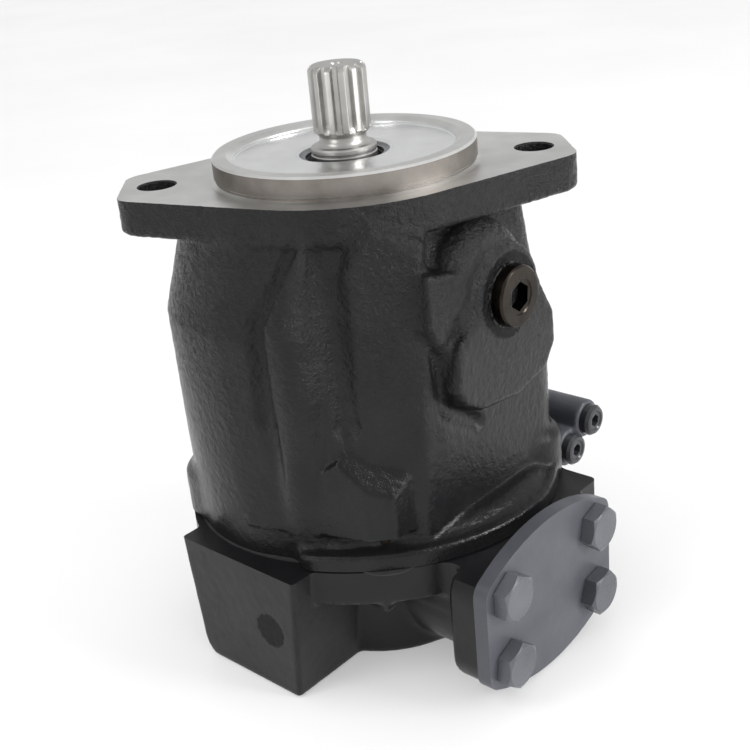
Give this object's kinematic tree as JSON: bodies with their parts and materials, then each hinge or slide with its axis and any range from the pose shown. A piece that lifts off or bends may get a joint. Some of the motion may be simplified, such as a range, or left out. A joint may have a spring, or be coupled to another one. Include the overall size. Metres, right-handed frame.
{
  "type": "axial piston pump",
  "caption": "Swash-plate axial piston pump with two-bolt flange, splined shaft, side ports and a spool control valve.",
  "frame": {"origin": "centre of the mounting-flange face, on the shaft axis", "axes": "+Z outward along the drive shaft, +X along the line of the two flange holes; the port block's axes lie at 45 degrees between X and Y"},
  "size_m": [0.1924, 0.1945, 0.234],
  "materials": {
    "cast_paint": "semi-gloss black paint on rough sand casting; flange face and pilot bare machined",
    "block_paint": "semi-gloss dark grey paint",
    "bolt_paint": "semi-gloss blue-grey paint",
    "shaft_steel": "bright ground",
    "bearing_steel": "ground",
    "hard_steel": "ground and nitrided",
    "bronze": "satin bronze",
    "cage_steel": "pressed",
    "spring_steel": "satin",
    "black_oxide": "black oxide",
    "zinc_steel": "dull zinc",
    "rubber": "matt"
  },
  "bodies": {
    "housing_group": {"adjuster_caps": "zinc_steel", "adjuster_lock_nuts": "zinc_steel", "bias_piston": "bearing_steel", "bias_spring": "spring_steel", "bias_spring_seat": "bearing_steel", "block_screw_plug": "black_oxide", "block_screws": "black_oxide", "control_piston": "bearing_steel", "control_piston_sleeve": "bearing_steel", "control_valve_body": "block_paint", "cradle_bearings": "bronze", "drain_plug": "black_oxide", "drain_plug_seal": "rubber", "flow_spring": "spring_steel", "front_bearing_cup": "bearing_steel", "joint_gasket": "rubber", "port_block": "block_paint", "pressure_spring": "spring_steel", "pump_housing": "cast_paint", "rear_bearing_cup": "bearing_steel", "rear_bearing_shim": "bearing_steel", "seal_circlip": "spring_steel", "shaft_seal": "rubber", "suction_cover": "block_paint", "suction_cover_bolts": "bolt_paint", "suction_cover_seal": "rubber", "swash_plate": "hard_steel", "valve_end_plugs": "bolt_paint", "valve_face_seals": "rubber", "valve_plate": "bronze", "valve_plate_dowel": "bearing_steel", "valve_screws": "black_oxide"},
    "rotating_group": {"drive_shaft": "shaft_steel", "front_bearing_cone": "bearing_steel", "front_bearing_rollers": "bearing_steel", "front_bearing_cage": "cage_steel", "rear_bearing_cone": "bearing_steel", "rear_bearing_rollers": "bearing_steel", "rear_bearing_cage": "cage_steel", "cylinder_barrel": "hard_steel", "pistons": "bearing_steel", "slippers": "bronze", "retainer_plate": "hard_steel", "retaining_ball": "bearing_steel", "barrel_spring": "spring_steel", "barrel_spring_washers": "bearing_steel", "barrel_circlip": "spring_steel", "retainer_pins": "bearing_steel"},
    "pressure_spool": {"pressure_spool": "bearing_steel", "pressure_spring_seat": "bearing_steel"},
    "flow_spool": {"flow_spool": "bearing_steel", "flow_spring_seat": "bearing_steel"},
    "pressure_adjuster": {"pressure_adjusting_screw": "zinc_steel"},
    "flow_adjuster": {"flow_adjusting_screw": "zinc_steel"}
  },
  "joints": [
    {"name": "shaft_spin", "type": "hinge", "parent": "housing_group", "child": "rotating_group", "pos_m": [0, 0, 0], "axis": [0, 0, 1], "continuous": true},
    {"name": "pressure_spool_slide", "type": "slide", "parent": "housing_group", "child": "pressure_spool", "axis": [-0.7071, 0.7071, 0], "range_m": [0, 0.002], "stiffness_N_per_m": 8000, "deforming": ["pressure_spring"]},
    {"name": "flow_spool_slide", "type": "slide", "parent": "housing_group", "child": "flow_spool", "axis": [-0.7071, 0.7071, 0], "range_m": [0, 0.002], "stiffness_N_per_m": 8000, "deforming": ["flow_spring"]},
    {"name": "pressure_adjuster_turn", "type": "hinge", "parent": "housing_group", "child": "pressure_adjuster", "pos_m": [0.03182, 0.08839, -0.131], "axis": [-0.7071, 0.7071, 0], "range_deg": [-360, 360]},
    {"name": "flow_adjuster_turn", "type": "hinge", "parent": "housing_group", "child": "flow_adjuster", "pos_m": [0.02334, 0.0799, -0.141], "axis": [-0.7071, 0.7071, 0], "range_deg": [-360, 360]}
  ]
}
